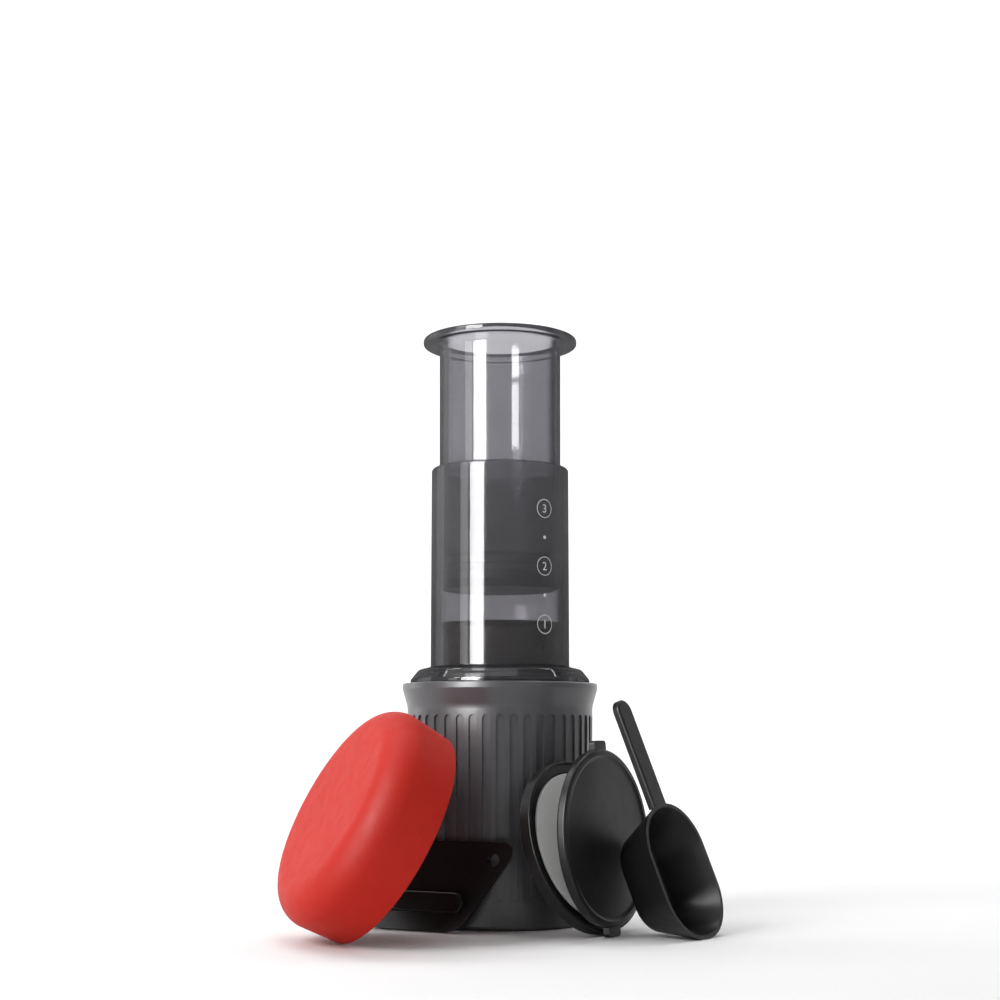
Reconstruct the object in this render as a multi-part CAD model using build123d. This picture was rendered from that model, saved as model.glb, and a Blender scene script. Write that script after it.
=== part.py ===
from build123d import *
import math
import os

# Air press coffee maker, travel set, in millimetres. The table is z = 0 and the mug stands on it,
# centred on the origin. The press stands in the mug's mouth and the loose pieces lean around it.
# The front of the set is -Y.

# Shared values
overrun = 2.0
lift_gap = 0.3
settle_steps = 5

# Mug
mug_height = 107.0
mug_cap_room = 2.6
mug_wall = 2.9
mug_rim_flare = 2.25
mug_draft = 1.1
mug_floor = 3.2
mug_foot_round = 2.0
mug_rim_band = 2.8
mug_flare_height = 7.8
mug_flare_round = 9.0
mug_rim_round = 0.8
mug_inner_round = 5.0
flute_count = 44
flute_width = 3.7
flute_depth = 0.9
flute_low = 12.5
flute_top_gap = 14.5

# Brew chamber
chamber_r = 32.0
chamber_wall = 2.2
chamber_above_mug = 100.0
chamber_below_rim = 16.5
chamber_rim_round = 1.6
chamber_end_round = 0.5
flange_edge_inset = 3.55
flange_edge = 1.7
flange_shoulder = 7.6
flange_shoulder_width = 5.5
flange_shoulder_drop = 1.3
flange_skin = 2.6
flange_edge_round = 1.4
flange_shoulder_round = 3.5
skirt_depth = 4.0
skirt_wall = 1.7
skirt_clearance = 0.4
lug_reach = 2.5
lug_height = 2.5
lug_low_above_end = 5.5
lug_arc_deg = 26.0
lug_count = 3

# Filter cap with its paper
cap_wall = 2.1
cap_clearance = 0.4
cap_floor = 2.5
cap_top_gap = 0.9
cap_round = 1.4
cap_lip_round = 0.5
hook_height = 2.4
paper_inset = 0.25
paper_thickness = 0.4
hole_r = 1.25
hole_edge = 5.25
hole_rings = 5

# Plunger and its seal
plunger_gap = 1.2
plunger_draft = 0.5
plunger_wall = 2.2
plunger_above_chamber = 62.0
plunger_flange_reach = 7.6
plunger_flange = 3.2
plunger_flange_round = 1.2
plunger_throat_round = 4.0
plunger_mouth_round = 2.4
plunger_floor = 2.2
plunger_inner_round = 4.0
plunger_end_round = 1.0
seal_depth_in_chamber = 57.0
seal_height = 13.8
seal_running_gap = 0.1
seal_waist_depth = 0.8
seal_lip_height = 3.0
seal_nose = 3.4
seal_nose_round = 1.6
seal_lip_round = 0.5
seal_skin = 2.4
stub_head_inset = 7.7
stub_head = 3.6
stub_step = 3.0
stub_clearance = 0.2

# Silicone lid, leaning open side towards the mug
lid_fit = 0.25
lid_mouth_wall = 1.7
lid_wall = 3.6
lid_top = 3.0
lid_height = 30.0
lid_edge_round = 12.0
lid_mouth_round = 0.7
lid_gap = 15.25
lid_bearing_deg = -121.2
lid_turn_deg = -156.5
lid_tilt_deg = 28.0

# Filter holder tray, its papers and its cover
tray_depth = 5.8
tray_floor = 2.0
tray_ring = 1.5
tray_ledge = 3.45
tray_ledge_drop = 1.1
tray_round = 0.6
tray_paper_room = 0.7
tray_gap = 0.4
tray_bearing_deg = -51.8
tray_turn_deg = -39.5
tray_tilt_deg = 18.5
stack_count = 6
stack_gap = 0.06
stack_sheet = 0.5
cover_inset = 0.4
cover_thickness = 4.2
cover_web = 2.2
cover_dish = 0.9
cover_ring = 2.6
cover_round = 1.1
cover_dish_round = 2.0
cover_gap = 0.3
cover_bearing_deg = -52.4
cover_turn_deg = -32.0
cover_tilt_deg = 4.7
tab_width = 10.0
tab_reach = 3.6
tab_thickness = 2.8
tab_round = 1.6
tab_root = 1.5

# Scoop
scoop_long = 58.0
scoop_wide = 44.0
scoop_depth = 23.0
scoop_bottom_long = 38.0
scoop_bottom_wide = 25.0
scoop_corner_share = 0.47
scoop_wall = 1.7
scoop_bottom_round = 6.0
scoop_handle_length = 47.0
scoop_handle_width = 10.4
scoop_handle_thickness = 3.2
scoop_handle_round = 1.0
scoop_handle_root = 1.0
scoop_gap = 0.3
scoop_bearing_deg = -39.4
scoop_turn_deg = -37.5
scoop_tilt_deg = 19.6
scoop_roll_deg = 6.3

# Folding stirrer, folded, standing on its long edge against the mug
paddle_width = 38.3
paddle_left = 44.0
paddle_right = 31.3
paddle_toe = 8.0
paddle_shoulder = 5.5
paddle_thickness = 2.6
paddle_heel_round = 11.0
paddle_toe_round = 16.0
paddle_tip_round = 3.8
paddle_bevel_rise = 1.3
paddle_bevel_width = 8.0
eyelet_r = 2.8
eyelet_from_right = 8.6
eyelet_from_top = 7.4
handle_width = 8.6
handle_thickness = 3.0
handle_end_round = 0.8
handle_reach = 11.3
handle_height = 12.0
handle_gap = 0.3
pin_r = 2.0
pin_fit = 0.05
pin_head_r = 3.3
pin_head = 0.9
pin_inset = 13.0
stirrer_gap = 0.4
stirrer_turn_deg = -119.7
stirrer_lean_deg = 10.0

# Places that follow from the sizes above
chamber_bore_r = chamber_r - chamber_wall
lug_r = chamber_r + lug_reach
cap_in_r = lug_r + cap_clearance
cap_r = cap_in_r + cap_wall
mug_inner_r = cap_r + mug_cap_room
mug_body_top_r = mug_inner_r + mug_wall
mug_rim_r = mug_body_top_r + mug_rim_flare
mug_base_r = mug_body_top_r - mug_draft
flare_low = mug_height - mug_rim_band - mug_flare_height
chamber_top = mug_height + chamber_above_mug
chamber_end = mug_height - chamber_below_rim
flange_r = mug_rim_r - flange_edge_inset
skirt_out_r = mug_inner_r - skirt_clearance
skirt_in_r = skirt_out_r - skirt_wall
skirt_low = mug_height - skirt_depth
lug_low = chamber_end + lug_low_above_end
cap_top = skirt_low - cap_top_gap
paper_r = chamber_r - paper_inset
paper_top = chamber_end - lift_gap
cap_floor_top = paper_top - paper_thickness
plunger_top = chamber_top + plunger_above_chamber
plunger_top_r = chamber_bore_r - plunger_gap
plunger_low_r = plunger_top_r - plunger_draft
plunger_flange_r = plunger_top_r + plunger_flange_reach
seal_r = chamber_bore_r - seal_running_gap
seal_low = chamber_top - seal_depth_in_chamber
seal_top = seal_low + seal_height
stub_head_r = seal_r - stub_head_inset
stub_neck_r = stub_head_r - stub_step
lid_inner_r = mug_rim_r + lid_fit
lid_r = lid_inner_r + lid_wall
recess_r = paper_r + tray_paper_room
tray_r = recess_r + tray_ledge + tray_ring
cover_r = tray_r - cover_inset


def turned(outline):
    """Turn an outline of (radius, height, corner rounding) points about the Z axis."""
    points = [(radius, height) for radius, height, _ in outline]
    rounds = [rounding for _, _, rounding in outline]
    section = Plane.XZ * make_face(FilletPolyline(*points, radius=rounds, close=True))
    return revolve(section, Axis.Z)


def ring_block(inner_r, outer_r, low, height, middle_deg, arc_deg):
    """A block of a flat ring, centred on one bearing, such as a bayonet lug."""
    middle_r = (inner_r + outer_r) / 2
    section = Plane.XZ * (Pos(middle_r, low + height / 2) * Rectangle(outer_r - inner_r, height))
    return Rot(0, 0, middle_deg - arc_deg / 2) * revolve(section, Axis.Z, arc_deg)


def leaning(bearing_deg, distance, turn_deg, tilt_deg):
    """Plane of a loose piece: Z is its face's normal, Y runs up its face and X lies level."""
    bearing = math.radians(bearing_deg)
    turn = math.radians(turn_deg)
    tilt = math.radians(tilt_deg)
    normal = (math.cos(tilt) * math.cos(turn), math.cos(tilt) * math.sin(turn), math.sin(tilt))
    level = (-math.sin(turn), math.cos(turn), 0)
    return Plane((distance * math.cos(bearing), distance * math.sin(bearing), 0), level, normal)


def stood(place, pieces):
    """Set pieces at a place, with the first of them resting on the table."""
    placed = [place.location * piece for piece in pieces]
    rise = -placed[0].bounding_box().min.Z
    return [Pos(0, 0, rise) * piece for piece in placed]


def settled(pieces, neighbour, bearing_deg, gap):
    """Slide pieces level towards the middle until the last, a plain outline, is a gap from a neighbour."""
    bearing = math.radians(bearing_deg)
    shift = 0
    for _ in range(settle_steps):
        moved = Pos(-shift * math.cos(bearing), -shift * math.sin(bearing), 0) * pieces[-1]
        shift += moved.distance_to(neighbour) - gap
    return [Pos(-shift * math.cos(bearing), -shift * math.sin(bearing), 0) * piece for piece in pieces]


def make_mug():
    """Fluted mug: a turned cup with a flared rim and upright channels with round ends."""
    flare_top = mug_height - mug_rim_band
    cup = turned([
        (0, 0, 0),
        (mug_base_r, 0, mug_foot_round),
        (mug_body_top_r, flare_low, mug_flare_round),
        (mug_rim_r, flare_top, mug_rim_round),
        (mug_rim_r, mug_height, mug_rim_round),
        (mug_inner_r, mug_height, mug_rim_round),
        (mug_base_r - mug_wall, mug_floor, mug_inner_round),
        (0, mug_floor, 0),
    ])
    flute_high = mug_height - flute_top_gap
    middle = (flute_low + flute_high) / 2
    slope = mug_draft / flare_low
    bed_r = mug_base_r + slope * middle - flute_depth
    bed = Plane((bed_r, 0, middle), (slope, 0, 1), (1, 0, -slope))
    channel = extrude(bed * SlotOverall(flute_high - flute_low, flute_width), flute_depth + overrun)
    step = 360 / flute_count
    return cup - [Rot(0, 0, step * index) * channel for index in range(flute_count)]


def make_brew_chamber():
    """Clear brewing tube with the shoulder that seats on the mug and the bayonet lugs below."""
    shoulder_top = mug_height + flange_shoulder
    shoulder_edge = shoulder_top - flange_shoulder_drop
    tube = turned([
        (chamber_bore_r, chamber_end, chamber_end_round),
        (chamber_r, chamber_end, chamber_end_round),
        (chamber_r, shoulder_top - flange_skin, chamber_end_round),
        (skirt_in_r, shoulder_edge - flange_skin, chamber_end_round),
        (skirt_in_r, skirt_low, chamber_end_round),
        (skirt_out_r, skirt_low, chamber_end_round),
        (skirt_out_r, mug_height, 0),
        (flange_r, mug_height, chamber_end_round),
        (flange_r, mug_height + flange_edge, flange_edge_round),
        (chamber_r + flange_shoulder_width, shoulder_edge, flange_shoulder_round),
        (chamber_r, shoulder_top, chamber_end_round),
        (chamber_r, chamber_top, chamber_rim_round),
        (chamber_bore_r, chamber_top, chamber_end_round),
    ])
    root_r = chamber_r - chamber_wall / 2
    for index in range(lug_count):
        bearing = 360 / lug_count * index
        tube += ring_block(root_r, lug_r, lug_low, lug_height, bearing, lug_arc_deg)
    return tube


def make_filter_cap():
    """Perforated cap whose inner hooks hang on the chamber's lugs."""
    floor_low = cap_floor_top - cap_floor
    cup = turned([
        (0, floor_low, 0),
        (cap_r, floor_low, cap_round),
        (cap_r, cap_top, cap_lip_round),
        (cap_in_r, cap_top, cap_lip_round),
        (cap_in_r, cap_floor_top, cap_lip_round),
        (0, cap_floor_top, 0),
    ])
    hook_low = lug_low + lug_height + lift_gap
    hook_in_r = chamber_r + cap_clearance
    root_r = cap_in_r + cap_wall / 2
    for index in range(lug_count):
        bearing = 360 / lug_count * index
        cup += ring_block(hook_in_r, root_r, hook_low, hook_height, bearing, lug_arc_deg)
    drill = Pos(0, 0, floor_low - overrun) * extrude(Circle(hole_r), cap_floor + overrun * 2)
    drills = [drill]
    pitch = (paper_r - hole_edge) / hole_rings
    for ring in range(1, hole_rings + 1):
        count = 6 * ring
        for index in range(count):
            drills.append(Rot(0, 0, 360 / count * index) * Pos(pitch * ring, 0, 0) * drill)
    return cup - drills


def make_paper_filter():
    """The one paper in use, lying on the cap's floor."""
    return Pos(0, 0, cap_floor_top) * extrude(Circle(paper_r), paper_thickness)


def make_plunger_tube():
    """Hollow plunger, open at the top, with a hand flange and a stub that carries the seal."""
    flange_low = plunger_top - plunger_flange
    head_low = seal_low + seal_skin + stub_clearance
    return turned([
        (0, head_low, 0),
        (stub_head_r, head_low, plunger_end_round),
        (stub_head_r, head_low + stub_head, plunger_end_round),
        (stub_neck_r, head_low + stub_head, 0),
        (stub_neck_r, seal_top + stub_clearance, 0),
        (plunger_low_r, seal_top + stub_clearance, plunger_end_round),
        (plunger_top_r, flange_low, plunger_throat_round),
        (plunger_flange_r, flange_low, plunger_flange_round),
        (plunger_flange_r, plunger_top, plunger_flange_round),
        (plunger_top_r - plunger_wall, plunger_top, plunger_mouth_round),
        (plunger_low_r - plunger_wall, seal_top + plunger_floor, plunger_inner_round),
        (0, seal_top + plunger_floor, 0),
    ])


def make_plunger_seal():
    """Rubber seal with two wiping lips, snapped over the plunger's stub."""
    waist_r = seal_r - seal_waist_depth
    head_low = seal_low + seal_skin
    head_top = head_low + stub_head + stub_clearance * 2
    head_r = stub_head_r + stub_clearance
    neck_r = stub_neck_r + stub_clearance
    return turned([
        (0, seal_low, 0),
        (seal_r - seal_nose, seal_low, seal_nose_round),
        (seal_r, seal_low + seal_nose, seal_lip_round),
        (seal_r, seal_low + seal_nose + seal_lip_height, seal_lip_round),
        (waist_r, seal_low + seal_nose + seal_lip_height + seal_waist_depth, 0),
        (waist_r, seal_top - seal_lip_height - seal_waist_depth, 0),
        (seal_r, seal_top - seal_lip_height, seal_lip_round),
        (seal_r, seal_top, seal_lip_round),
        (neck_r, seal_top, 0),
        (neck_r, head_top, 0),
        (head_r, head_top, 0),
        (head_r, head_low, 0),
        (0, head_low, 0),
    ])


def make_silicone_lid(cup):
    """Deep round lid with a broad edge, stood on its mouth's edge beside the mug."""
    cap = turned([
        (lid_inner_r, 0, lid_mouth_round),
        (lid_inner_r + lid_mouth_wall, 0, lid_mouth_round),
        (lid_r, lid_height, lid_edge_round),
        (0, lid_height, 0),
        (0, lid_height - lid_top, 0),
        (lid_inner_r, lid_height - lid_top, lid_edge_round - lid_wall),
    ])
    outline = Pos(0, 0, lid_height / 2) * Cone(lid_inner_r + lid_mouth_wall, lid_r, lid_height)
    place = leaning(lid_bearing_deg, mug_rim_r + lid_r * 2, lid_turn_deg, lid_tilt_deg)
    return settled(stood(place, [cap, outline]), cup, lid_bearing_deg, lid_gap)[0]


def tabs(body_r, back):
    """Two tabs on opposite edges of a disc."""
    length = tab_reach + tab_root
    outline = Pos(0, body_r - tab_root + length / 2) * RectangleRounded(tab_width, length, tab_round)
    tab = Pos(0, 0, back) * extrude(outline, tab_thickness)
    return [tab, Rot(0, 0, 180) * tab]


def make_filter_holder_tray(cup):
    """Shallow round tray with a stepped rim, the spare papers lying in it and its plain outline."""
    floor_top = tray_floor - tray_depth
    dish = turned([
        (0, -tray_depth, 0),
        (tray_r, -tray_depth, tray_round),
        (tray_r, 0, tray_round),
        (tray_r - tray_ring, 0, tray_round),
        (tray_r - tray_ring, -tray_ledge_drop, 0),
        (recess_r, -tray_ledge_drop, 0),
        (recess_r, floor_top, 0),
        (0, floor_top, 0),
    ])
    sheet = extrude(Circle(paper_r), stack_sheet)
    step = stack_sheet + stack_gap
    sheets = [Pos(0, 0, floor_top + stack_gap + step * index) * sheet for index in range(stack_count)]
    place = leaning(tray_bearing_deg, mug_rim_r + tray_r * 2, tray_turn_deg, tray_tilt_deg)
    outline = Pos(0, 0, -tray_depth / 2) * Cylinder(tray_r, tray_depth)
    placed = settled(stood(place, [dish] + sheets + [outline]), cup, tray_bearing_deg, tray_gap)
    return placed[0], Compound(children=placed[1:-1]), placed[-1]


def make_filter_holder_cover(behind):
    """Slightly dished round cover with two tabs, leaning beside the tray, and its plain outline."""
    dish_r = cover_r - cover_ring
    disc = turned([
        (0, -cover_dish, 0),
        (dish_r - cover_dish, -cover_dish, cover_dish_round),
        (dish_r, 0, 0),
        (cover_r, 0, cover_round),
        (cover_r, -cover_thickness, cover_round),
        (cover_r - cover_ring, -cover_thickness, 0),
        (cover_r - cover_ring, -cover_dish - cover_web, 0),
        (0, -cover_dish - cover_web, 0),
    ])
    for tab in tabs(cover_r, -cover_thickness / 2 - tab_thickness / 2):
        disc += tab
    distance = mug_rim_r + tray_r + cover_r
    place = leaning(cover_bearing_deg, distance, cover_turn_deg, cover_tilt_deg)
    outline = Pos(0, 0, -cover_thickness / 2) * Cylinder(cover_r, cover_thickness)
    return settled(stood(place, [disc, outline]), behind, cover_bearing_deg, cover_gap)


def make_scoop(behind):
    """Oval scoop with a flat bar handle, leaning on its end with the bowl facing forward."""
    def oval(wide, long, height):
        return Pos(0, 0, height) * RectangleRounded(wide, long, wide * scoop_corner_share)

    plain = loft([oval(scoop_wide, scoop_long, 0),
                  oval(scoop_bottom_wide, scoop_bottom_long, -scoop_depth)])
    outer = fillet(plain.edges().group_by(Axis.Z)[0], scoop_bottom_round)
    both_walls = scoop_wall * 2
    inner = loft([oval(scoop_wide - both_walls, scoop_long - both_walls, 0),
                  oval(scoop_bottom_wide - both_walls, scoop_bottom_long - both_walls,
                       scoop_wall - scoop_depth)])
    inner = fillet(inner.edges().group_by(Axis.Z)[0], scoop_bottom_round - scoop_wall)
    length = scoop_handle_length + scoop_handle_root
    bar_outline = SlotOverall(length * 2, scoop_handle_width, rotation=90)
    bar = extrude(Pos(0, scoop_long / 2 - scoop_handle_root) * bar_outline, -scoop_handle_thickness)
    bar = fillet(bar.edges().group_by(Axis.Z)[-1], scoop_handle_round)
    keep_height = length + scoop_handle_width
    keep_middle = scoop_long / 2 - scoop_handle_root + keep_height / 2
    keep = Pos(0, keep_middle, 0) * Box(scoop_handle_width + overrun, keep_height, scoop_handle_thickness * 3)
    scoop = outer - inner + (bar & keep)
    distance = mug_rim_r + tray_r + cover_r + scoop_long
    place = leaning(scoop_bearing_deg, distance, scoop_turn_deg, scoop_tilt_deg)
    rolled = Rot(0, 0, scoop_roll_deg)
    standing = stood(place, [rolled * scoop, rolled * Compound(children=[plain, bar & keep])])
    return settled(standing, behind, scoop_bearing_deg, scoop_gap)[0]


def make_stirrer(cup):
    """Folding stirrer: a broad paddle, a slim handle folded over it and the pin they turn on."""
    paddle = extrude(make_face(FilletPolyline(
        (-paddle_left, 0),
        (paddle_toe, 0),
        (paddle_right, paddle_width - paddle_shoulder),
        (paddle_right, paddle_width),
        (-paddle_left, paddle_width),
        radius=[paddle_heel_round, paddle_toe_round, paddle_tip_round, paddle_tip_round, paddle_heel_round],
        close=True,
    )), paddle_thickness)
    edge = Vector(paddle_right - paddle_toe, paddle_width - paddle_shoulder, 0)
    outward = Vector(edge.Y, -edge.X, 0)
    slope = paddle_bevel_rise / paddle_bevel_width
    wedge = make_face(Polyline(
        (-paddle_bevel_width, 0),
        (overrun, -slope * (paddle_bevel_width + overrun)),
        (overrun, overrun),
        (-paddle_bevel_width, overrun),
        close=True,
    ))
    toe = Plane((paddle_toe, 0, paddle_thickness), outward, edge * -1)
    paddle -= extrude(toe * wedge, edge.length + paddle_width, both=True)
    eyelet_at = Pos(paddle_right - eyelet_from_right, paddle_width - eyelet_from_top, -overrun)
    paddle -= eyelet_at * extrude(Circle(eyelet_r), paddle_thickness + overrun * 2)
    pin_at = Pos(pin_inset - paddle_left, handle_height, 0)
    paddle -= pin_at * Pos(0, 0, -overrun) * extrude(Circle(pin_r + pin_fit), paddle_thickness + overrun * 2)

    handle_back = paddle_thickness + handle_gap
    handle_left = pin_inset - paddle_left - handle_width / 2
    bar_outline = SlotOverall(handle_reach - handle_left, handle_width)
    bar = Pos((handle_reach + handle_left) / 2, handle_height, handle_back) * extrude(bar_outline, handle_thickness)
    bar = fillet(bar.edges().group_by(Axis.Z)[-1], handle_end_round)
    bore = pin_at * Pos(0, 0, handle_back - overrun) * extrude(Circle(pin_r + pin_fit), handle_thickness + overrun * 2)
    bar -= bore

    head_back = handle_back + handle_thickness + handle_gap
    shaft = extrude(Circle(pin_r), head_back)
    head = Pos(0, 0, head_back) * extrude(Circle(pin_head_r), pin_head)
    pin = pin_at * (shaft + head)

    place = leaning(stirrer_turn_deg, mug_rim_r + paddle_width, stirrer_turn_deg, stirrer_lean_deg)
    plate = Box(paddle_left, paddle_width, paddle_thickness, align=(Align.CENTER, Align.MIN, Align.MIN))
    return settled(stood(place, [paddle, bar, pin, plate]), cup, stirrer_turn_deg, stirrer_gap)[:-1]


plain_mug = Pos(0, 0, flare_low / 2) * Cone(mug_base_r, mug_body_top_r, flare_low)
tray, tray_papers, plain_tray = make_filter_holder_tray(plain_mug)
cover, plain_cover = make_filter_holder_cover(plain_tray)
paddle_piece, handle_piece, pin_piece = make_stirrer(plain_mug)
nodes = {
    "mug": make_mug(),
    "brew_chamber": make_brew_chamber(),
    "filter_cap": make_filter_cap(),
    "paper_filter": make_paper_filter(),
    "plunger_tube": make_plunger_tube(),
    "plunger_seal": make_plunger_seal(),
    "silicone_lid": make_silicone_lid(plain_mug),
    "filter_holder_tray": tray,
    "spare_papers": tray_papers,
    "filter_holder_cover": cover,
    "scoop": make_scoop(plain_cover),
    "stirrer_paddle": paddle_piece,
    "stirrer_handle": handle_piece,
    "stirrer_pin": pin_piece,
}
os.makedirs("parts", exist_ok=True)
for name, shape in nodes.items():
    export_step(shape, f"parts/{name}.step")
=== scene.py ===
"""Looks of an air press coffee maker travel set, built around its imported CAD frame.

The set stands on a pale studio floor and is seen from the front, a little below its middle.
All lengths are in metres unless a name says otherwise.
"""

import logging
import math
from dataclasses import dataclass
from enum import Enum

import bmesh
import bpy
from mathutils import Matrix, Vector


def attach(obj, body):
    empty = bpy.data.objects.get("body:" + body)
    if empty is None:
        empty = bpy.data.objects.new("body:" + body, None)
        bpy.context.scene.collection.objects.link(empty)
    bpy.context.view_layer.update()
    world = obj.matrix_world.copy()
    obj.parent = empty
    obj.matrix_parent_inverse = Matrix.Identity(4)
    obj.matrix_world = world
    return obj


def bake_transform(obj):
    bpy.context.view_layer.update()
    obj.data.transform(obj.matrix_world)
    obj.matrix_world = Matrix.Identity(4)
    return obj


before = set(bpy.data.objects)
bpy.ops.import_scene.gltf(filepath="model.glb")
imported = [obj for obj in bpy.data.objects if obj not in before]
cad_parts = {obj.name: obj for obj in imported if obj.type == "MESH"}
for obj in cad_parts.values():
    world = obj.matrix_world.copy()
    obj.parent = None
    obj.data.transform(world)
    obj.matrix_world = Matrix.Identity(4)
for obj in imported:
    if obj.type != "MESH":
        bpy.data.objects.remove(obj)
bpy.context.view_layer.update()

logging.basicConfig(level=logging.INFO, format="%(message)s")
LOG = logging.getLogger("air_press_set")

Colour = tuple[float, float, float]
Place = tuple[float, float, float]


class Body(str, Enum):
    """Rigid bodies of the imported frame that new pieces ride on."""

    CHAMBER = "chamber"
    PLUNGER = "plunger"


class Sheet:
    """Short-hand for building one material's node tree."""

    weak: float = 0.3
    strong: float = 0.7

    def __init__(self, name: str) -> None:
        """Start an empty tree.

        Args:
            name: Name of the new material.
        """
        self.material = bpy.data.materials.new(name)
        self.material.use_nodes = True
        self.tree = self.material.node_tree
        self.tree.nodes.clear()
        self.output = self.tree.nodes.new("ShaderNodeOutputMaterial")
        coordinates = self.tree.nodes.new("ShaderNodeTexCoord")
        self.place = coordinates.outputs["Object"]
        self.spread = coordinates.outputs["Generated"]

    def node(self, kind: str, **inputs: object) -> bpy.types.Node:
        """Add a node and fill its inputs.

        Args:
            kind: Blender's node type.
            **inputs: Values or sockets by input name, with underscores for spaces.

        Returns:
            The new node.
        """
        made = self.tree.nodes.new(kind)
        for key, value in inputs.items():
            self.fill(made.inputs[key.replace("_", " ")], value)
        return made

    def fill(self, socket: bpy.types.NodeSocket, value: object) -> None:
        """Set a socket to a constant or link another socket into it.

        Args:
            socket: The input to fill.
            value: A number, a colour or an output socket.
        """
        if isinstance(value, bpy.types.NodeSocket):
            self.tree.links.new(value, socket)
        else:
            socket.default_value = value

    def maths(self, operation: str, first: object, second: object = 0.0) -> bpy.types.NodeSocket:
        """Add a maths node.

        Args:
            operation: Blender's name of the operation.
            first: First number or socket.
            second: Second number or socket.

        Returns:
            The result's socket.
        """
        made = self.tree.nodes.new("ShaderNodeMath")
        made.operation = operation
        self.fill(made.inputs[0], first)
        self.fill(made.inputs[1], second)
        return made.outputs[0]

    def noise(self, scale: float, detail: float = 3.0, roughness: float = 0.55) -> bpy.types.NodeSocket:
        """Add object-space noise.

        Args:
            scale: Noise cells per metre.
            detail: Octaves.
            roughness: Weight of the finer octaves.

        Returns:
            The noise value's socket.
        """
        made = self.node("ShaderNodeTexNoise", Vector=self.place, Scale=scale, Detail=detail)
        self.fill(made.inputs["Roughness"], roughness)
        return made.outputs["Fac"]

    def ranged(self, value: bpy.types.NodeSocket, low: float, high: float) -> bpy.types.NodeSocket:
        """Spread the middle of a noise value over a range.

        Args:
            value: The noise to spread.
            low: Result where the noise is weak.
            high: Result where the noise is strong.

        Returns:
            The ranged value's socket.
        """
        made = self.node("ShaderNodeMapRange", Value=value, To_Min=low, To_Max=high)
        self.fill(made.inputs["From Min"], self.weak)
        self.fill(made.inputs["From Max"], self.strong)
        return made.outputs["Result"]

    def tinted(self, value: bpy.types.NodeSocket, dark: Colour, light: Colour) -> bpy.types.NodeSocket:
        """Turn a noise value into a colour.

        Args:
            value: The noise.
            dark: Colour where the noise is weak.
            light: Colour where the noise is strong.

        Returns:
            The colour's socket.
        """
        ramp = self.node("ShaderNodeValToRGB", Fac=value)
        ramp.color_ramp.elements[0].position = self.weak
        ramp.color_ramp.elements[0].color = (*dark, 1.0)
        ramp.color_ramp.elements[1].position = self.strong
        ramp.color_ramp.elements[1].color = (*light, 1.0)
        return ramp.outputs["Color"]

    def bump(self, height: bpy.types.NodeSocket, depth: float, strength: float) -> bpy.types.NodeSocket:
        """Turn a height into a bumped normal.

        Args:
            height: Height value.
            depth: Depth of the full height.
            strength: Share of the effect.

        Returns:
            The normal's socket.
        """
        made = self.node("ShaderNodeBump", Height=height, Distance=depth, Strength=strength)
        return made.outputs["Normal"]

    def done(self, surface: bpy.types.NodeSocket) -> bpy.types.Material:
        """Close the tree.

        Args:
            surface: The finished shader.

        Returns:
            The material.
        """
        self.tree.links.new(surface, self.output.inputs["Surface"])
        return self.material


@dataclass(frozen=True)
class Finish:
    """Base of every finish."""

    name: str

    def material(self) -> bpy.types.Material:
        """Build the finish's material.

        Returns:
            The new material.
        """
        raise NotImplementedError


@dataclass(frozen=True)
class Moulding(Finish):
    """Opaque moulded plastic, rubber or silicone with a fine grain and a faint cloudiness."""

    dark: Colour
    light: Colour
    gloss_low: float
    gloss_high: float
    grain: float
    grain_depth: float = 0.00001
    grain_strength: float = 0.6
    cloud_cells: float = 38.0
    gloss_cells: float = 170.0
    specular: float = 0.5
    sheen: float = 0.0
    sheen_spread: float = 0.45
    sheen_colour: Colour = (1.0, 1.0, 1.0)

    def material(self) -> bpy.types.Material:
        """Build the moulding's material.

        Returns:
            The new material.
        """
        sheet = Sheet(self.name)
        cloud = sheet.noise(self.cloud_cells, 4.0)
        grain = sheet.noise(self.grain, 2.0, 0.6)
        gloss = sheet.noise(self.gloss_cells, 3.0)
        shader = sheet.node(
            "ShaderNodeBsdfPrincipled",
            Base_Color=sheet.tinted(cloud, self.dark, self.light),
            Roughness=sheet.ranged(gloss, self.gloss_low, self.gloss_high),
            Normal=sheet.bump(grain, self.grain_depth, self.grain_strength),
        )
        shader.inputs["Specular IOR Level"].default_value = self.specular
        shader.inputs["Sheen Weight"].default_value = self.sheen
        shader.inputs["Sheen Roughness"].default_value = self.sheen_spread
        shader.inputs["Sheen Tint"].default_value = (*self.sheen_colour, 1.0)
        return sheet.done(shader.outputs["BSDF"])


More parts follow.
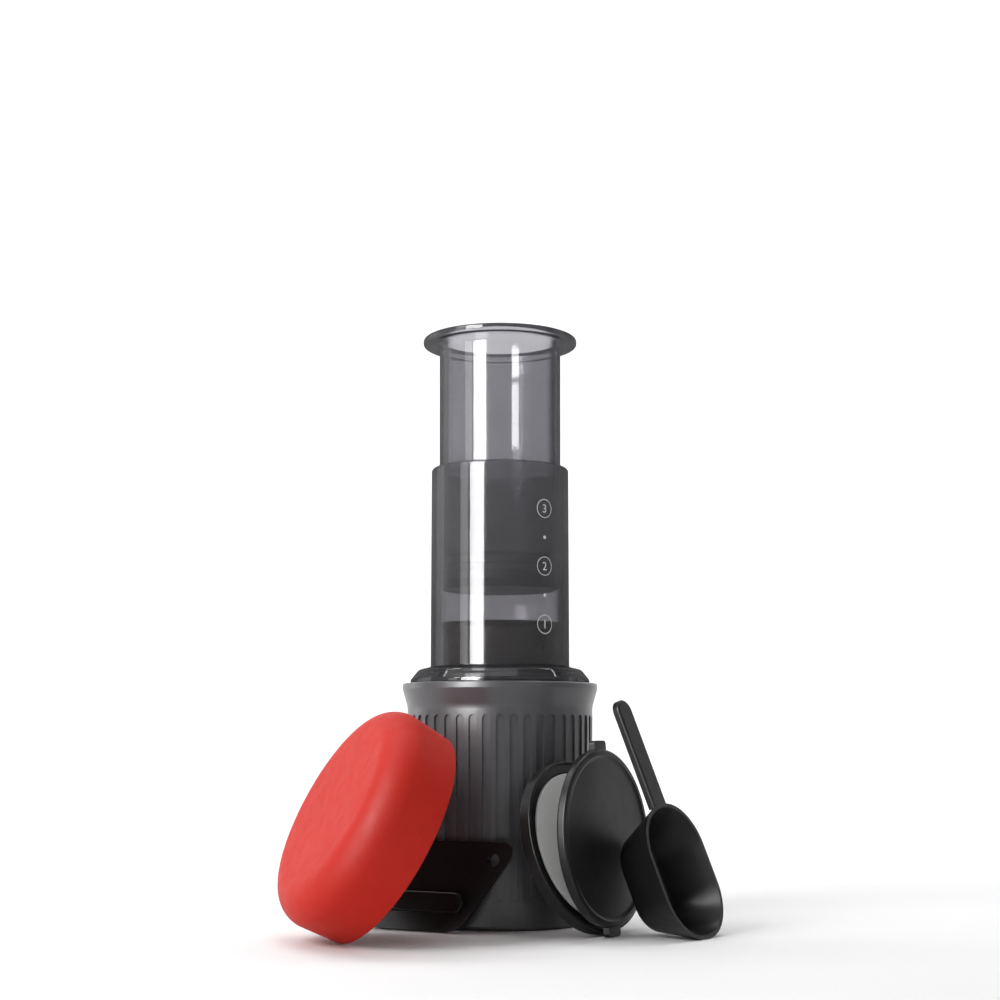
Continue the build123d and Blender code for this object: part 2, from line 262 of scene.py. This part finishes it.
@dataclass(frozen=True)
class SmokeClear(Finish):
    """Smoke-tinted clear plastic: each wall passes a share of the light and mirrors the room.

    The haze goes from one share to another between two heights of the piece.
    A wall seen aslant is deeper, so it passes less and mirrors more.
    """

    passes: Colour
    haze: Colour
    haze_low: float
    haze_high: float
    haze_from: float = 0.40
    haze_to: float = 0.75
    haze_gain: float = 1.25
    haze_cells: float = 60.0
    index: float = 1.49
    gloss: float = 0.035
    edge_depth: float = 140.0
    edge_power: float = 8.0
    mirror_gain: float = 0.05
    mirror_power: float = 5.0
    ripple_cells: float = 45.0
    ripple_depth: float = 0.0004
    ripple_strength: float = 0.05

    def material(self) -> bpy.types.Material:
        """Build the clear plastic's material.

        Returns:
            The new material.
        """
        sheet = Sheet(self.name)
        facing = sheet.node("ShaderNodeLayerWeight", Blend=0.5).outputs["Facing"]
        slant = sheet.maths("POWER", facing, self.edge_power)
        depth = sheet.maths("ADD", sheet.maths("MULTIPLY", slant, self.edge_depth), 1.0)
        parts = [sheet.maths("POWER", part, depth) for part in self.passes]
        tint = sheet.node("ShaderNodeCombineColor", Red=parts[0], Green=parts[1], Blue=parts[2])
        clear = sheet.node("ShaderNodeBsdfTransparent", Color=tint.outputs["Color"])
        bright = tuple(self.haze_gain * part for part in self.haze)
        streak = sheet.tinted(sheet.noise(self.haze_cells, 4.0), self.haze, bright)
        hazy = sheet.node("ShaderNodeBsdfDiffuse", Color=streak)
        height = sheet.node("ShaderNodeSeparateXYZ", Vector=sheet.spread).outputs["Z"]
        fog = sheet.node(
            "ShaderNodeMapRange",
            Value=height,
            From_Min=self.haze_from,
            From_Max=self.haze_to,
            To_Min=self.haze_low,
            To_Max=self.haze_high,
        )
        wall = sheet.node("ShaderNodeMixShader", Fac=fog.outputs["Result"])
        sheet.fill(wall.inputs[1], clear.outputs["BSDF"])
        sheet.fill(wall.inputs[2], hazy.outputs["BSDF"])
        wave = sheet.noise(self.ripple_cells, 2.0)
        ripple = sheet.bump(wave, self.ripple_depth, self.ripple_strength)
        mirror = sheet.node("ShaderNodeBsdfGlossy", Roughness=self.gloss, Normal=ripple)
        head_on = ((self.index - 1.0) / (self.index + 1.0)) ** 2
        graze = sheet.maths("POWER", facing, self.mirror_power)
        share = sheet.maths("ADD", sheet.maths("MULTIPLY", graze, self.mirror_gain), head_on)
        both = sheet.node("ShaderNodeMixShader", Fac=share)
        sheet.fill(both.inputs[1], wall.outputs["Shader"])
        sheet.fill(both.inputs[2], mirror.outputs["BSDF"])
        return sheet.done(both.outputs["Shader"])


@dataclass(frozen=True)
class CrepePaper(Finish):
    """White filter paper with crepe ripples and pale fibres."""

    dark: Colour
    light: Colour
    ripple: float
    ripple_depth: float
    wander: float = 1.5
    fibre_cells: float = 2600.0

    def material(self) -> bpy.types.Material:
        """Build the paper's material.

        Returns:
            The new material.
        """
        sheet = Sheet(self.name)
        wave = sheet.node("ShaderNodeTexWave", Vector=sheet.place, Scale=self.ripple)
        sheet.fill(wave.inputs["Distortion"], self.wander)
        fibre = sheet.noise(self.fibre_cells, 4.0, 0.7)
        height = sheet.maths("ADD", wave.outputs["Fac"], fibre)
        shader = sheet.node(
            "ShaderNodeBsdfPrincipled",
            Base_Color=sheet.tinted(fibre, self.dark, self.light),
            Roughness=0.95,
            Normal=sheet.bump(height, self.ripple_depth, 0.5),
        )
        return sheet.done(shader.outputs["BSDF"])


@dataclass(frozen=True)
class Brew(Finish):
    """Dark brewed coffee with drifting fines."""

    dark: Colour
    light: Colour
    gloss: float
    drift_cells: float = 240.0
    drift_depth: float = 0.0002

    def material(self) -> bpy.types.Material:
        """Build the coffee's material.

        Returns:
            The new material.
        """
        sheet = Sheet(self.name)
        drift = sheet.noise(self.drift_cells, 6.0, 0.65)
        shader = sheet.node(
            "ShaderNodeBsdfPrincipled",
            Base_Color=sheet.tinted(drift, self.dark, self.light),
            Roughness=self.gloss,
            Normal=sheet.bump(drift, self.drift_depth, 0.3),
        )
        return sheet.done(shader.outputs["BSDF"])


@dataclass(frozen=True)
class Ink(Finish):
    """Screen-printed white ink, a little uneven."""

    dark: Colour
    light: Colour
    speck_cells: float = 1800.0

    def material(self) -> bpy.types.Material:
        """Build the ink's material.

        Returns:
            The new material.
        """
        sheet = Sheet(self.name)
        shader = sheet.node(
            "ShaderNodeBsdfPrincipled",
            Base_Color=sheet.tinted(sheet.noise(self.speck_cells, 2.0), self.dark, self.light),
            Roughness=0.6,
        )
        return sheet.done(shader.outputs["BSDF"])


CHARCOAL = Moulding(
    name="charcoal satin",
    dark=(0.078, 0.078, 0.084),
    light=(0.092, 0.092, 0.099),
    gloss_low=0.29,
    gloss_high=0.35,
    grain=1100.0,
)
BLACK = Moulding(
    name="black moulding",
    dark=(0.006, 0.006, 0.0063),
    light=(0.010, 0.010, 0.0105),
    gloss_low=0.31,
    gloss_high=0.40,
    grain=1300.0,
    specular=0.26,
)
SEAL = Moulding(
    name="seal rubber",
    dark=(0.060, 0.060, 0.064),
    light=(0.080, 0.080, 0.085),
    gloss_low=0.40,
    gloss_high=0.55,
    grain=1200.0,
)
SILICONE = Moulding(
    name="red silicone",
    dark=(0.50, 0.013, 0.005),
    light=(0.535, 0.017, 0.007),
    gloss_low=0.50,
    gloss_high=0.62,
    grain=1200.0,
    specular=0.15,
    sheen=0.03,
    sheen_colour=(1.0, 0.72, 0.62),
)
CHAMBER_CLEAR = SmokeClear(
    name="smoke clear chamber",
    passes=(0.685, 0.68, 0.695),
    haze=(0.17, 0.17, 0.18),
    haze_low=0.13,
    haze_high=0.27,
)
PLUNGER_CLEAR = SmokeClear(
    name="smoke clear plunger",
    passes=(0.73, 0.727, 0.745),
    haze=(0.25, 0.25, 0.265),
    haze_low=0.18,
    haze_high=0.20,
)
PAPER = CrepePaper(
    name="crepe paper",
    dark=(0.80, 0.80, 0.78),
    light=(0.92, 0.92, 0.90),
    ripple=420.0,
    ripple_depth=0.00006,
)
COFFEE = Brew(
    name="brewed coffee",
    dark=(0.022, 0.010, 0.004),
    light=(0.060, 0.030, 0.013),
    gloss=0.25,
)
INK = Ink(name="white ink", dark=(0.72, 0.72, 0.72), light=(0.86, 0.86, 0.86))


def dress(node: str, material: bpy.types.Material) -> None:
    """Give a CAD node its material.

    Args:
        node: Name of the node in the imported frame.
        material: The material it wears.
    """
    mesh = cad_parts[node].data
    mesh.materials.clear()
    mesh.materials.append(material)
    LOG.info("dressed %s", node)


def new_piece(name: str, shape: bmesh.types.BMesh, material: bpy.types.Material) -> bpy.types.Object:
    """Make an object from a finished bmesh.

    Args:
        name: Name of the new object.
        shape: Its geometry, which is freed here.
        material: The material it wears.

    Returns:
        The new object, linked into the scene.
    """
    mesh = bpy.data.meshes.new(name)
    shape.to_mesh(mesh)
    shape.free()
    mesh.materials.append(material)
    piece = bpy.data.objects.new(name, mesh)
    bpy.context.scene.collection.objects.link(piece)
    return piece


@dataclass
class Mug:
    """The fluted mug."""

    finish: Finish = CHARCOAL

    def build(self) -> None:
        """Dress the mug."""
        dress("mug", self.finish.material())


@dataclass
class ScaleMarks:
    """White level marks printed up the chamber: ringed numerals with dots between them."""

    radius: float = 0.03206
    bearing_deg: float = 39.0
    lowest: float = 0.1328
    step: float = 0.0131
    ring: float = 0.0043
    line: float = 0.00032
    dot: float = 0.0008
    numeral: float = 0.0054
    segments: int = 48
    count: int = 5

    def build(self, ink: bpy.types.Material) -> None:
        """Print the marks on the chamber.

        Args:
            ink: The ink's material.
        """
        shape = bmesh.new()
        for index in range(self.count):
            height = self.lowest + self.step * index
            if index % 2 == 0:
                self.add_ring(shape, height, self.ring - self.line, self.ring)
                self.add_numeral(shape, height, str(index // 2 + 1))
            else:
                self.add_ring(shape, height, 0.0, self.dot)
        marks = new_piece("level_marks", shape, ink)
        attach(marks, Body.CHAMBER.value)
        LOG.info("printed level marks")

    def wrapped(self, across: float, height: float) -> Vector:
        """Wrap a flat point round the chamber.

        Args:
            across: Distance to the right of the marks' middle line.
            height: Height above the table.

        Returns:
            The point on the chamber's wall.
        """
        angle = math.radians(self.bearing_deg) + across / self.radius
        return Vector((self.radius * math.sin(angle), -self.radius * math.cos(angle), height))

    def add_ring(self, shape: bmesh.types.BMesh, height: float, inner: float, outer: float) -> None:
        """Add a flat ring, or a disc if its inner radius is zero.

        Args:
            shape: Geometry to add to.
            height: Height of its middle.
            inner: Inner radius.
            outer: Outer radius.
        """
        rims = []
        for reach in (inner, outer):
            turns = [2 * math.pi * step / self.segments for step in range(self.segments)]
            spots = [self.wrapped(reach * math.sin(t), height + reach * math.cos(t)) for t in turns]
            rims.append([shape.verts.new(spot) for spot in spots])
        if inner == 0.0:
            shape.faces.new(list(reversed(rims[1])))
            bmesh.ops.delete(shape, geom=rims[0], context="VERTS")
            return
        for step in range(self.segments):
            following = (step + 1) % self.segments
            shape.faces.new((rims[0][step], rims[0][following], rims[1][following], rims[1][step]))

    def add_numeral(self, shape: bmesh.types.BMesh, height: float, text: str) -> None:
        """Add one numeral in the middle of its ring.

        Args:
            shape: Geometry to add to.
            height: Height of its middle.
            text: The numeral.
        """
        curve = bpy.data.curves.new("numeral", "FONT")
        curve.body = text
        curve.size = self.numeral
        letter = bpy.data.objects.new("numeral", curve)
        bpy.context.scene.collection.objects.link(letter)
        bpy.context.view_layer.update()
        graph = bpy.context.evaluated_depsgraph_get()
        flat = bpy.data.meshes.new_from_object(letter.evaluated_get(graph))
        bpy.data.objects.remove(letter)
        wide = [vertex.co.x for vertex in flat.vertices]
        tall = [vertex.co.y for vertex in flat.vertices]
        middle = Vector(((min(wide) + max(wide)) / 2, (min(tall) + max(tall)) / 2, 0.0))
        points = []
        for vertex in flat.vertices:
            offset = vertex.co - middle
            points.append(shape.verts.new(self.wrapped(offset.x, height + offset.y)))
        for polygon in flat.polygons:
            shape.faces.new([points[corner] for corner in polygon.vertices])
        bpy.data.meshes.remove(flat)


@dataclass
class CoffeeColumn:
    """The coffee standing in the chamber on the paper."""

    radius: float = 0.02955
    low: float = 0.0903
    level: float = 0.1345
    foot_round: float = 0.0004
    meniscus: float = 0.0009
    lip_share: float = 0.6
    lip_width: float = 0.0006
    hollow_width: float = 0.0025
    follow_end: float = 0.1568
    rows: int = 10
    segments: int = 96

    def build(self, coffee: bpy.types.Material) -> None:
        """Pour the coffee.

        Args:
            coffee: The coffee's material.
        """
        shape = bmesh.new()
        rings = [self.ring(shape, self.radius - self.foot_round, self.low)]
        wall_low = self.low + self.foot_round
        for row in range(self.rows + 1):
            height = wall_low + (self.level - wall_low) * row / self.rows
            rings.append(self.ring(shape, self.radius, height))
        lip = self.level - self.meniscus * self.lip_share
        rings.append(self.ring(shape, self.radius - self.lip_width, lip))
        rings.append(self.ring(shape, self.radius - self.hollow_width, self.level - self.meniscus))
        for below, above in zip(rings, rings[1:]):
            for step in range(self.segments):
                following = (step + 1) % self.segments
                shape.faces.new((below[step], below[following], above[following], above[step]))
        shape.faces.new(list(reversed(rings[0])))
        shape.faces.new(rings[-1])
        column = new_piece("coffee", shape, coffee)
        for polygon in column.data.polygons:
            polygon.use_smooth = len(polygon.vertices) == 4
        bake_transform(column)
        LOG.info("poured coffee")

    def ring(self, shape: bmesh.types.BMesh, radius: float, height: float) -> list[bmesh.types.BMVert]:
        """Add one ring of points.

        Args:
            shape: Geometry to add to.
            radius: The ring's radius.
            height: Its height.

        Returns:
            The ring's points.
        """
        turns = [2 * math.pi * step / self.segments for step in range(self.segments)]
        return [shape.verts.new((radius * math.cos(t), radius * math.sin(t), height)) for t in turns]


@dataclass
class Press:
    """The chamber, its cap and paper, the plunger and its seal, with the coffee and the marks."""

    marks: ScaleMarks
    coffee: CoffeeColumn

    def build(self) -> None:
        """Dress the press, pour the coffee and print the marks."""
        dress("brew_chamber", CHAMBER_CLEAR.material())
        dress("plunger_tube", PLUNGER_CLEAR.material())
        dress("plunger_seal", SEAL.material())
        dress("filter_cap", BLACK.material())
        dress("paper_filter", PAPER.material())
        self.coffee.build(COFFEE.material())
        self.marks.build(INK.material())


@dataclass
class Lid:
    """The silicone lid."""

    finish: Finish = SILICONE

    def build(self) -> None:
        """Dress the lid."""
        dress("silicone_lid", self.finish.material())


@dataclass
class FilterHolder:
    """The tray, its papers and its cover."""

    shell: Finish = BLACK
    papers: Finish = PAPER

    def build(self) -> None:
        """Dress the holder and its papers."""
        shell = self.shell.material()
        dress("filter_holder_tray", shell)
        dress("filter_holder_cover", shell)
        dress("spare_papers", self.papers.material())


@dataclass
class Utensils:
    """The scoop and the folding stirrer."""

    finish: Finish = BLACK

    def build(self) -> None:
        """Dress the scoop and the stirrer."""
        shell = self.finish.material()
        for node in ("scoop", "stirrer_paddle", "stirrer_handle", "stirrer_pin"):
            dress(node, shell)


@dataclass(frozen=True)
class Softbox:
    """One rectangular lamp that faces a point."""

    name: str
    place: Place
    aim: Place
    width: float
    height: float
    power: float
    strip: bool = False

    def build(self) -> None:
        """Hang the lamp. A strip shows in reflections and casts no soft light."""
        data = bpy.data.lights.new(self.name, "AREA")
        data.shape = "RECTANGLE"
        data.size = self.width
        data.size_y = self.height
        data.energy = self.power
        lamp = bpy.data.objects.new(self.name, data)
        lamp.location = self.place
        lamp.visible_diffuse = not self.strip
        lamp.rotation_euler = (Vector(self.aim) - Vector(self.place)).to_track_quat("-Z", "Y").to_euler()
        bpy.context.scene.collection.objects.link(lamp)


@dataclass
class Studio:
    """Pale floor and wall, soft lamps and the camera."""

    lens_mm: float = 61.2
    camera_place: Place = (0.0, -0.788, 0.0813)
    camera_rise_deg: float = 8.04
    radius: float = 4.0
    segments: int = 96
    wall_height: float = 4.0
    bend: float = 1.0
    bend_steps: int = 16
    room_glow: float = 0.08
    lamps: tuple[Softbox, ...] = (
        Softbox("key strip", (-0.60, -0.76, 0.42), (0.0, 0.0, 0.15), 0.42, 1.0, 30.0, True),
        Softbox("side strip", (-0.85, -0.47, 0.42), (0.0, 0.0, 0.15), 0.25, 1.0, 2.6, True),
        Softbox("left card", (-1.0, 0.55, 0.35), (0.0, 0.0, 0.15), 0.5, 0.8, 1.8, True),
        Softbox("low front strip", (0.63, -1.14, 0.461), (0.0, 0.0, 0.22), 0.30, 0.080, 1.05, True),
        Softbox("high front strip", (0.63, -1.14, 0.527), (0.0, 0.0, 0.25), 0.30, 0.034, 0.45, True),
        Softbox("key", (-0.9, -0.7, 0.9), (0.0, 0.0, 0.08), 0.6, 0.6, 10.5),
        Softbox("top", (-0.3, 0.1, 1.6), (0.0, 0.0, 0.0), 1.6, 1.6, 11.5),
        Softbox("back wash", (0.0, 1.0, 2.6), (0.0, 3.4, 0.9), 3.6, 1.2, 140.0),
    )

    def build(self) -> None:
        """Set the stage, the lamps and the camera."""
        self.add_cove()
        self.add_room()
        for lamp in self.lamps:
            lamp.build()
        self.add_camera()
        LOG.info("set the studio")

    def add_cove(self) -> None:
        """Add the round floor, which curves up into a wall all round the set."""
        profile = [(self.radius - self.bend, 0.0)]
        for step in range(1, self.bend_steps + 1):
            turn = math.radians(90.0 * step / self.bend_steps)
            out = self.radius - self.bend + self.bend * math.sin(turn)
            profile.append((out, self.bend - self.bend * math.cos(turn)))
        profile.append((self.radius, self.wall_height))
        shape = bmesh.new()
        rings = []
        for out, up in profile:
            turns = [2 * math.pi * step / self.segments for step in range(self.segments)]
            rings.append([shape.verts.new((out * math.cos(t), out * math.sin(t), up)) for t in turns])
        shape.faces.new(rings[0])
        for below, above in zip(rings, rings[1:]):
            for step in range(self.segments):
                following = (step + 1) % self.segments
                shape.faces.new((below[step], above[step], above[following], below[following]))
        sheet = Sheet("pale cove")
        shader = sheet.node(
            "ShaderNodeBsdfPrincipled",
            Base_Color=sheet.tinted(sheet.noise(3.0), (0.79, 0.79, 0.795), (0.81, 0.81, 0.81)),
            Roughness=0.8,
        )
        cove = new_piece("cove", shape, sheet.done(shader.outputs["BSDF"]))
        for polygon in cove.data.polygons:
            polygon.use_smooth = True

    def add_room(self) -> None:
        """Light the room evenly."""
        world = bpy.data.worlds.new("room")
        world.use_nodes = True
        background = world.node_tree.nodes["Background"]
        background.inputs["Color"].default_value = (1.0, 1.0, 1.0, 1.0)
        background.inputs["Strength"].default_value = self.room_glow
        bpy.context.scene.world = world

    def add_camera(self) -> None:
        """Stand the camera in front, low and tipped up a little."""
        data = bpy.data.cameras.new("camera")
        data.lens = self.lens_mm
        data.clip_start = 0.01
        camera = bpy.data.objects.new("camera", data)
        camera.location = self.camera_place
        camera.rotation_euler = (math.radians(90.0 + self.camera_rise_deg), 0.0, 0.0)
        bpy.context.scene.collection.objects.link(camera)
        bpy.context.scene.camera = camera
        bpy.context.scene.view_settings.view_transform = "Standard"


def main() -> None:
    """Build the set's looks in order."""
    Mug().build()
    Press(ScaleMarks(), CoffeeColumn()).build()
    Lid().build()
    FilterHolder().build()
    Utensils().build()
    Studio().build()


if __name__ == "__main__":
    main()
